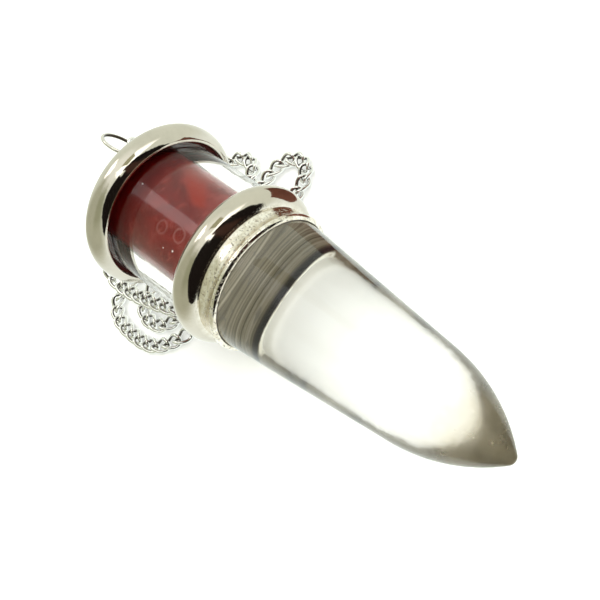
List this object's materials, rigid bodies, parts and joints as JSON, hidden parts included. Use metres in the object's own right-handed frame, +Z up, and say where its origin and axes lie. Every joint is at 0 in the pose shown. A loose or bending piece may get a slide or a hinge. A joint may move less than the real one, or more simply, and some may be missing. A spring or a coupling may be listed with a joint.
{
  "type": "bottle pendant",
  "caption": "Bottle pendant: a glass tube with red filling between a metal cap with wire eye and a beaded collar, a clear bullet crystal below, lying on its fine curb chain.",
  "frame": {"origin": "on the floor, below the middle of the whole part's box", "axes": "+X runs along the pendant from the cap towards the tip, level with the floor; +Y runs across it; +Z is up. The pendant's own axis points 10 degrees below +X."},
  "size_m": [0.0722, 0.0366, 0.0253],
  "materials": {
    "cap_metal": "polished warm nickel plating",
    "collar_metal": "polished warm nickel plating with fine pits near the lower edge",
    "chain_metal": "bright silver plating",
    "tube_glass": "clear polished glass",
    "crystal_glass": "clear crystal with an olive-brown tint near the collar and the tip",
    "filling": "clear dark red resin with brighter chips"
  },
  "bodies": {
    "root": {"cap": "cap_metal", "glass_tube": "tube_glass", "red_filling": "filling", "collar": "collar_metal", "crystal": "crystal_glass", "chain": "chain_metal"}
  },
  "joints": []
}
